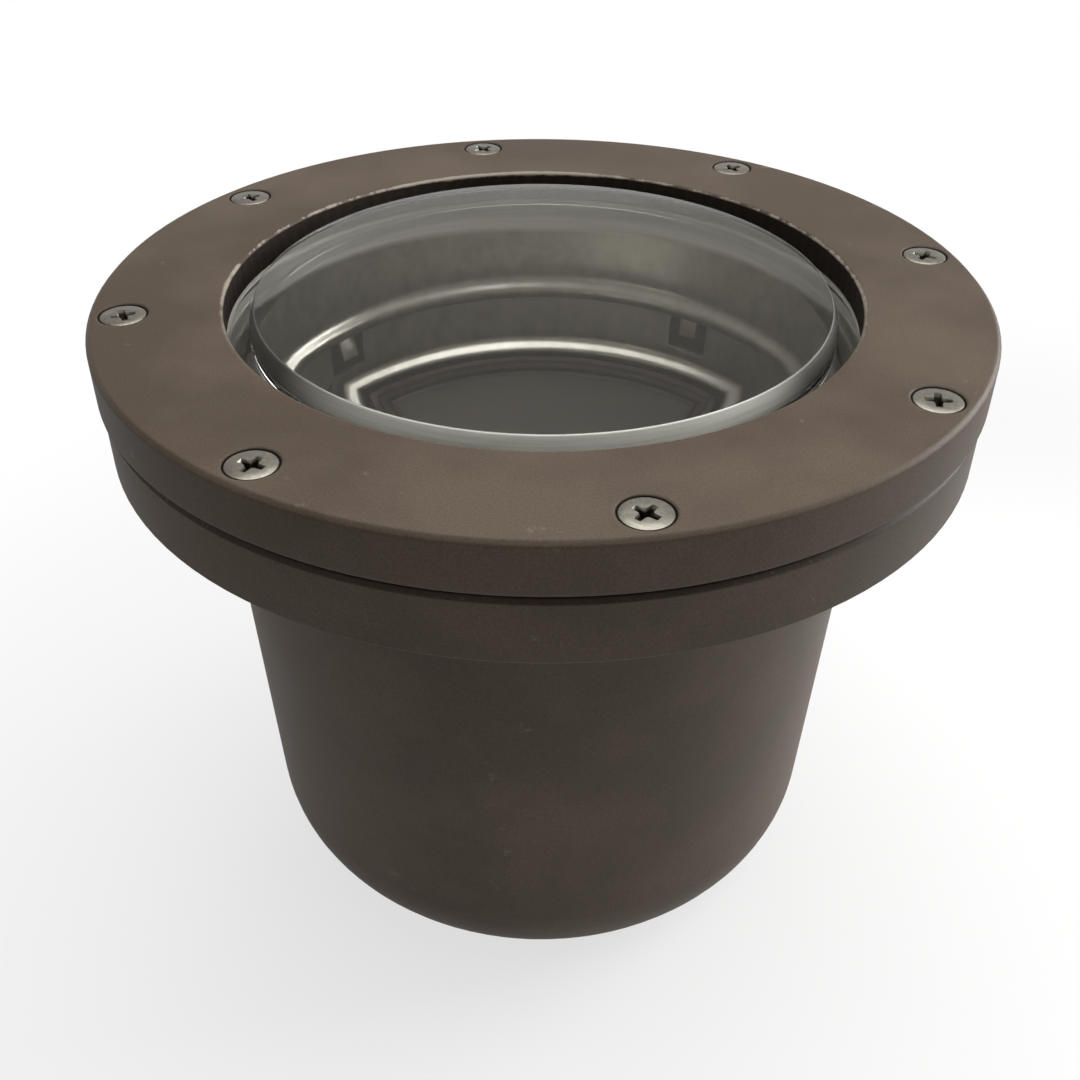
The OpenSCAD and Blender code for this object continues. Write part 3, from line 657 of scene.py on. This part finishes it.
bmesh.ops.remove_doubles(bm, verts=bm.verts, dist=MERGE_DIST)
slots = []
for face in bm.faces:
    middle = face.calc_center_median() / MM
    if TAB_LOW < middle.z < TAB_TOP and on_wall(middle):
        away = min(from_tab(middle, tab_turn) for tab_turn in TAB_TURNS)
        if away < TAB_OUT and (away > TAB_IN or middle.z < TAB_SILL):
            slots.append(face)
bmesh.ops.delete(bm, geom=slots, context="FACES")
loose = [vert for vert in bm.verts if not vert.link_faces]
bmesh.ops.delete(bm, geom=loose, context="VERTS")
for tab_turn, bend in zip(TAB_TURNS, TAB_BENDS):
    outward = Vector((math.cos(math.radians(tab_turn)), math.sin(math.radians(tab_turn)), 0))
    for vert in bm.verts:
        spot = vert.co / MM
        if TAB_SILL - TAB_SPARE < spot.z < TAB_TOP - TAB_SPARE and on_wall(spot):
            if from_tab(spot, tab_turn) < TAB_IN + TAB_SPARE:
                vert.co -= outward * bend * MM * (TAB_TOP - spot.z) / (TAB_TOP - TAB_SILL)
bmesh.ops.recalc_face_normals(bm, faces=bm.faces)
WALL_GREY = colour(176, 173, 163)
WALL_ROUGH = 0.33
WALL_METAL = 1.0
WALL_TONES = (colour(180, 177, 167), colour(194, 192, 183))
COLLAR_ROUGH = 0.6
COLLAR_METAL = 0.0
COLLAR_TONES = (colour(236, 235, 225), colour(254, 254, 246))
# The collar band is pale and matt. Its paleness is partly painted light: it is full only on the far (+Y)
# side and fades towards the sides as painted shade, and its lower edge climbs towards the sides.
COLLAR_FROM, COLLAR_TO = 121.6 * MM, 123.2 * MM
COLLAR_SLOPE = -0.035
COLLAR_LEAST = 0.3
COLLAR_LIT_FROM, COLLAR_LIT_TO = 0.0, 45 * MM
SPUN_STREAKS = (12, 12, 700)
STREAK_REACH = (0.35, 0.65)
spun_sheet, tree, shader = new_material("spun_sheet", WALL_GREY, WALL_ROUGH, WALL_METAL)
texture = fine_grain(tree, shader, scale=240.0, strength=0.06, depth=0.3 * MM)
place = object_place(tree)
at = split_axes(tree, place)
leaning = maths(tree, "MULTIPLY_ADD", maths(tree, "ABSOLUTE", at["X"]), COLLAR_SLOPE, at["Z"])
above = mapped(tree, leaning, COLLAR_FROM, COLLAR_TO)
collar_lit_side = mapped(tree, at["Y"], COLLAR_LIT_FROM, COLLAR_LIT_TO, COLLAR_LEAST, 1.0, smooth=True)
collar = maths(tree, "MULTIPLY", above, collar_lit_side)
streak = noise(tree, vector_maths(tree, "MULTIPLY", place, SPUN_STREAKS))
wall_tone = two_tones(tree, texture, WALL_TONES, STREAK_REACH)
collar_tone = two_tones(tree, streak, COLLAR_TONES, STREAK_REACH)
collar_rough = mapped(tree, collar, 0.0, 1.0, WALL_ROUGH, COLLAR_ROUGH)
collar_metal = mapped(tree, collar, 0.0, 1.0, WALL_METAL, COLLAR_METAL)
tree.links.new(mixed(tree, collar, wall_tone, collar_tone), shader.inputs["Base Color"])
tree.links.new(collar_rough, shader.inputs["Roughness"])
tree.links.new(collar_metal, shader.inputs["Metallic"])
bowl = finish_mesh("bowl_sheet", bm, spun_sheet, BOWL_SHARP)
thick = bowl.modifiers.new("sheet", "SOLIDIFY")
thick.thickness = SHEET_T * MM
thick.offset = -1
soft = bowl.modifiers.new("cut_edges", "BEVEL")
soft.width = CUT_ROUND * MM
soft.segments = CUT_SEGMENTS
soft.limit_method = "ANGLE"
soft.angle_limit = math.radians(BOWL_SHARP)
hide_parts("bowl")
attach(bowl, "housing")

# Glass: pressed in one piece, with its sizes in millimetres. A wide step that the gaskets hold goes round
# a domed crown, whose top is polished and whose side and shoulder are ground, pale at the front as
# painted light and darker towards the sides as painted shade.
CROWN_R = 62.9
CROWN_TOP_R = 61.9
CROWN_Z = 149.3
DOME_RISE = 1.2
SHOULDER_R = 0.45
MIDDLE_R = 30.0
STEP_R = 76.0
STEP_TOP = 142.2
STEP_CUT = 0.4
CROWN_FOOT = 0.6
CROWN_FOOT_MIDDLE = 0.18
GLASS_LOW = 135.2
GLASS_TURNS = 192
GLASS_SHARP = 25
GROUND_FROM = 146.2
GROUND_LOW = 145.0
GROUND_LIT = colour(246, 246, 236)
GROUND_ROUGH = 0.5
GROUND_CLEAR = 0.15
GROUND_LIT_TONES = (colour(232, 231, 218), colour(255, 254, 243))
GROUND_SHADED = colour(92, 90, 84)
GROUND_STREAKS = (30, 30, 1500)
FRONT_FROM, FRONT_TO = -56 * MM, -34 * MM
GLASS_IOR = 1.5
GLASS_ROUGH = 0.02
POLISHED_SHARE = 0.25
flank = math.degrees(math.atan2(CROWN_R - CROWN_TOP_R, CROWN_Z - GROUND_FROM))
top_r = CROWN_TOP_R - SHOULDER_R
dome_r = (top_r * top_r + DOME_RISE * DOME_RISE) / (2 * DOME_RISE)
dome_angle = math.degrees(math.asin(top_r / dome_r))
glass_line = [(0, GLASS_LOW), (MIDDLE_R, GLASS_LOW), (STEP_R - STEP_CUT, GLASS_LOW)]
glass_line += [(STEP_R, GLASS_LOW + STEP_CUT), (STEP_R, STEP_TOP - STEP_CUT)]
glass_line += [(STEP_R - STEP_CUT, STEP_TOP), (CROWN_R + CROWN_FOOT, STEP_TOP)]
glass_line += [(CROWN_R + CROWN_FOOT_MIDDLE, STEP_TOP + CROWN_FOOT_MIDDLE)]
glass_line += [(CROWN_R, STEP_TOP + CROWN_FOOT), (CROWN_R, GROUND_LOW), (CROWN_R, GROUND_FROM)]
glass_line += arc(top_r, CROWN_Z - SHOULDER_R, SHOULDER_R, flank, 90 - dome_angle, 8)
glass_line += arc(0, CROWN_Z + DOME_RISE - dome_r, dome_r, 90 - dome_angle, 90, 16)[1:]
bm = bmesh.new()
bmesh.ops.spin(bm, geom=drawn_line(bm, glass_line), axis=(0, 0, 1), cent=(0, 0, 0),
               angle=math.tau, steps=GLASS_TURNS, use_merge=True)
bmesh.ops.remove_doubles(bm, verts=bm.verts, dist=MERGE_DIST)
bmesh.ops.recalc_face_normals(bm, faces=bm.faces)
for face in bm.faces:
    middle = face.calc_center_median() / MM
    if middle.z > GROUND_LOW and middle.xy.length > top_r + SHOULDER_R * POLISHED_SHARE:
        face.material_index = 1
clear_glass, tree, shader = new_material("clear_glass", PLAIN_WHITE, GLASS_ROUGH)
shader.inputs["Transmission Weight"].default_value = 1.0
shader.inputs["IOR"].default_value = GLASS_IOR
ground_glass_painted_light, tree, shader = new_material("ground_glass_painted_light", GROUND_LIT, GROUND_ROUGH)
shader.inputs["Transmission Weight"].default_value = GROUND_CLEAR
shader.inputs["IOR"].default_value = GLASS_IOR
place = object_place(tree)
streak = noise(tree, vector_maths(tree, "MULTIPLY", place, GROUND_STREAKS))
pale = two_tones(tree, streak, GROUND_LIT_TONES, STREAK_REACH)
# The ground band's pale front is painted light, and its darker sides are painted shade.
front = mapped(tree, split_axes(tree, place)["Y"], FRONT_FROM, FRONT_TO, 1.0, 0.0, smooth=True)
tree.links.new(mixed(tree, front, GROUND_SHADED, pale), shader.inputs["Base Color"])
glass = finish_mesh("glass_lens", bm, clear_glass, GLASS_SHARP)
glass.data.materials.append(ground_glass_painted_light)
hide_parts("lens")
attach(glass, "cover")

# Cover ring: cast and turned flat, in the same bronze coat as the can. The edges of its hole and
# of its face carry a thin pale line of wear and painted highlight on their rear half, where they
# catch the light, and its hole and the screw sinks are painted dark as shade.
RING_R = 95.0 * MM
RING_TOP = 150.0 * MM
RING_EDGE_LINE = 0.35 * MM
RING_SOFT_EDGE = 0.9 * MM
HOLE_R = 67.9 * MM
HOLE_EDGE_LINE = 0.8 * MM
HOLE_SPARE = 0.1 * MM
HOLE_UNSHADED_TOP = 0.6 * MM
HOLE_SHADE = colour(18, 12, 8)
SCREW_COUNT = 8
SCREW_FIRST = 11
SCREW_PITCH_R = 87.9
SINK_R = 5.1 * MM
SINK_BLUR = 0.1 * MM


def sink_mask(tree):
    """A mask that is 1 inside the eight screw sinks of the cover ring, where shade is painted."""
    step = math.tau / SCREW_COUNT
    at = split_axes(tree, object_place(tree))
    turn = maths(tree, "ARCTAN2", at["Y"], at["X"])
    from_first = maths(tree, "SUBTRACT", turn, math.radians(SCREW_FIRST) - step / 2)
    beside = maths(tree, "SUBTRACT", maths(tree, "FLOORED_MODULO", from_first, step), step / 2)
    radius = axis_distance(tree, at)
    out = maths(tree, "MULTIPLY", radius, maths(tree, "COSINE", beside))
    side = maths(tree, "MULTIPLY", radius, maths(tree, "SINE", beside))
    away = vector_maths(tree, "DISTANCE", joined(tree, out, side), (SCREW_PITCH_R * MM, 0, 0))
    return mapped(tree, away, SINK_R - SINK_BLUR, SINK_R + SINK_BLUR, 1.0, 0.0)


ring_edges = (
    (HOLE_R, RING_TOP, HOLE_EDGE_LINE, 0.0),
    (RING_R, RING_TOP, RING_EDGE_LINE, 0.0),
)
# The wall of the ring's hole, below its top edge, is painted dark as shade.
ring_hole = (HOLE_R + HOLE_SPARE, 0.0, RING_TOP - HOLE_UNSHADED_TOP, HOLE_SHADE)
ring_bronze = bronze_finish("ring_bronze", ring_edges, ring_hole, RING_SOFT_EDGE, sink_mask)
paint("cover_ring", ring_bronze)

# Cover screws: eight flat heads of stainless steel in countersinks that are a little wider, so
# that a dark ring shows round each; that ring is also painted shade, on the sink and on the head's
# sloped side. The cross recess is pressed and tapers to its bottom. Their sizes are in millimetres.


def only(kind, geometry):
    """The vertices, edges or faces among the geometry that a mesh operator hands back."""
    return [part for part in geometry if isinstance(part, kind)]


SCREW_TOP = 149.86
SCREW_LEN = 22.0
SCREW_TURNS = (43, 61, 33, 70, 15, 7, 40, 24)
SCREW_SIDES = 40
SCREW_SHARP = 35
SINK_DEEP = 3.0
HEAD_R = 4.72
HEAD_DEEP = 2.7
HEAD_CORNER = ((0.1, 0.14), (0, 0.4))
FACE_SHORT, FACE_DOWN = 0.35, 0.02
SHANK_R = 2.4
SHANK_POINT = 0.6
SHANK_END_R = 0.01
RECESS_R = 2.6
RECESS_W = 0.62
RECESS_DEEP = 2.2
RECESS_TAPER = 0.42
ROOT_R = 1.15
ROOT_W = 0.74
CORE_R = 1.25
face_r = HEAD_R - FACE_SHORT
CROSS_QUARTER = (
    (RECESS_R, -RECESS_W, 0), (RECESS_R, RECESS_W, 0), (ROOT_R, ROOT_W, 0),
    (CORE_R, 0, 45), (ROOT_R, -ROOT_W, 90),
)
screw_line = [(face_r, -FACE_DOWN)] + [(HEAD_R - short, -down) for short, down in HEAD_CORNER]
screw_line += [(SHANK_R, -HEAD_DEEP), (SHANK_R, SHANK_POINT - SCREW_LEN)]
screw_line += [(SHANK_R - SHANK_POINT, -SCREW_LEN), (SHANK_END_R, -SCREW_LEN)]
screws = bmesh.new()
for number in range(SCREW_COUNT):
    bm = bmesh.new()
    cross = []
    for quarter in range(4):
        for x, y, turned in CROSS_QUARTER:
            turn = Matrix.Rotation(math.radians(90 * quarter + turned), 3, "Z")
            cross.append(bm.verts.new(turn @ Vector((x, y, 0))))
    mouth = [bm.edges.new((cross[i], cross[(i + 1) % len(cross)])) for i in range(len(cross))]
    rim = bmesh.ops.create_circle(bm, cap_ends=False, segments=SCREW_SIDES, radius=face_r)["verts"]
    bmesh.ops.translate(bm, verts=rim, vec=(0, 0, -FACE_DOWN))
    rim_edges = list({edge for vert in rim for edge in vert.link_edges})
    bmesh.ops.triangle_fill(bm, use_beauty=True, edges=mouth + rim_edges)
    inner = bmesh.ops.extrude_edge_only(bm, edges=mouth)["geom"]
    bottom = only(bmesh.types.BMVert, inner)
    bmesh.ops.scale(bm, verts=bottom, vec=(RECESS_TAPER, RECESS_TAPER, 1))
    bmesh.ops.translate(bm, verts=bottom, vec=(0, 0, -RECESS_DEEP))
    bmesh.ops.contextual_create(bm, geom=bottom)
    for (r0, z0), (r1, z1) in zip(screw_line, screw_line[1:]):
        swept = bmesh.ops.extrude_edge_only(bm, edges=rim_edges)["geom"]
        rim_edges = only(bmesh.types.BMEdge, swept)
        rim = only(bmesh.types.BMVert, swept)
        bmesh.ops.scale(bm, verts=rim, vec=(r1 / r0, r1 / r0, 1))
        bmesh.ops.translate(bm, verts=rim, vec=(0, 0, z1 - z0))
    bmesh.ops.contextual_create(bm, geom=rim)
    bmesh.ops.recalc_face_normals(bm, faces=bm.faces)
    seat = (
        Matrix.Scale(MM, 4)
        @ Matrix.Rotation(math.radians(SCREW_FIRST + 360 / SCREW_COUNT * number), 4, "Z")
        @ Matrix.Translation((SCREW_PITCH_R, 0, SCREW_TOP))
        @ Matrix.Rotation(math.radians(SCREW_TURNS[number]), 4, "Z")
    )
    bmesh.ops.transform(bm, matrix=seat, verts=bm.verts)
    one = bpy.data.meshes.new("one_screw")
    bm.to_mesh(one)
    bm.free()
    screws.from_mesh(one)
    bpy.data.meshes.remove(one)
SCREW_STEEL = colour(138, 134, 124)
SCREW_ROUGH = 0.36
SCREW_METAL = 0.85
SCREW_TONES = (colour(126, 122, 113), colour(150, 146, 136))
# Below its flat face the screw is painted dark as shade down to the depth of the sink, in the cross
# recess as well.
SCREW_SHADE = colour(52, 46, 40)
SHADE_DEEP, SHADE_FROM = 0.75, 0.35
screw_steel, tree, shader = new_material("screw_steel", SCREW_STEEL, SCREW_ROUGH, SCREW_METAL)
texture = fine_grain(tree, shader, scale=1200.0, strength=0.15, depth=0.1 * MM)
level = split_axes(tree, object_place(tree))["Z"]
face_unshaded = mapped(tree, level, (SCREW_TOP - SHADE_DEEP) * MM, (SCREW_TOP - SHADE_FROM) * MM)
shank_unshaded = maths(tree, "LESS_THAN", level, (SCREW_TOP - SINK_DEEP) * MM)
unshaded = maths(tree, "MAXIMUM", face_unshaded, shank_unshaded)
steel_tone = two_tones(tree, texture, SCREW_TONES, GRAIN_REACH)
tree.links.new(mixed(tree, unshaded, SCREW_SHADE, steel_tone), shader.inputs["Base Color"])
cover_screws = finish_mesh("cover_screws_set", screws, screw_steel, SCREW_SHARP)
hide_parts("cover_screws")
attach(cover_screws, "cover")

# Lamp leads: two sleeved wires from the terminal block up to the back of the lamp. Their sizes
# are in millimetres.


def pull(bm, end, way, steps):
    """Draws a wire's end face out along a straight way in equal steps; returns its new end."""
    for step in range(steps):
        swept = bmesh.ops.extrude_face_region(bm, geom=end)["geom"]
        end = only(bmesh.types.BMFace, swept)
        bmesh.ops.translate(bm, verts=only(bmesh.types.BMVert, swept), vec=way * MM / steps)
    return end


LEAD_R = 1.3
LEAD_SIDES = 20
LEAD_Y = 5.0
LEAD_BEND = 7.0
LEAD_FOOT_STEPS = 4
LEAD_BEND_STEPS = 10
LEAD_TOP_STEPS = 6
LEAD_START = 19.9
LEAD_Z = 17.8
LEAD_TOP = 30.3
LEAD_SHARP = 50
lead_sleeve = plain_finish(
    "lead_sleeve", colour(132, 116, 98), rough=0.6, grain=(1600.0, 0.3, 0.2 * MM),
    tones=(colour(120, 104, 86), colour(146, 130, 112)))
leads = bmesh.new()
for side in (-1, 1):
    ring = bmesh.ops.create_circle(leads, cap_ends=True, segments=LEAD_SIDES, radius=LEAD_R * MM)["verts"]
    bmesh.ops.rotate(leads, verts=ring, matrix=Matrix.Rotation(math.radians(-90), 3, "Y"))
    bmesh.ops.translate(leads, verts=ring, vec=(LEAD_START * MM, side * LEAD_Y * MM, LEAD_Z * MM))
    end = list({face for vert in ring for face in vert.link_faces})
    end = pull(leads, end, Vector((LEAD_BEND - LEAD_START, 0, 0)), LEAD_FOOT_STEPS)
    edges = list({edge for face in end for edge in face.edges})
    verts = list({vert for face in end for vert in face.verts})
    swept = bmesh.ops.spin(leads, geom=end + edges + verts, axis=(0, 1, 0),
                           cent=(LEAD_BEND * MM, side * LEAD_Y * MM, (LEAD_Z + LEAD_BEND) * MM),
                           angle=math.radians(90), steps=LEAD_BEND_STEPS)["geom_last"]
    end = only(bmesh.types.BMFace, swept)
    pull(leads, end, Vector((0, 0, LEAD_TOP - LEAD_Z - LEAD_BEND)), LEAD_TOP_STEPS)
bmesh.ops.remove_doubles(leads, verts=leads.verts, dist=MERGE_DIST)
bmesh.ops.recalc_face_normals(leads, faces=leads.faces)
lamp_leads = finish_mesh("lamp_leads_sleeved", leads, lead_sleeve, LEAD_SHARP)
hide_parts("lamp_leads")
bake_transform(lamp_leads)
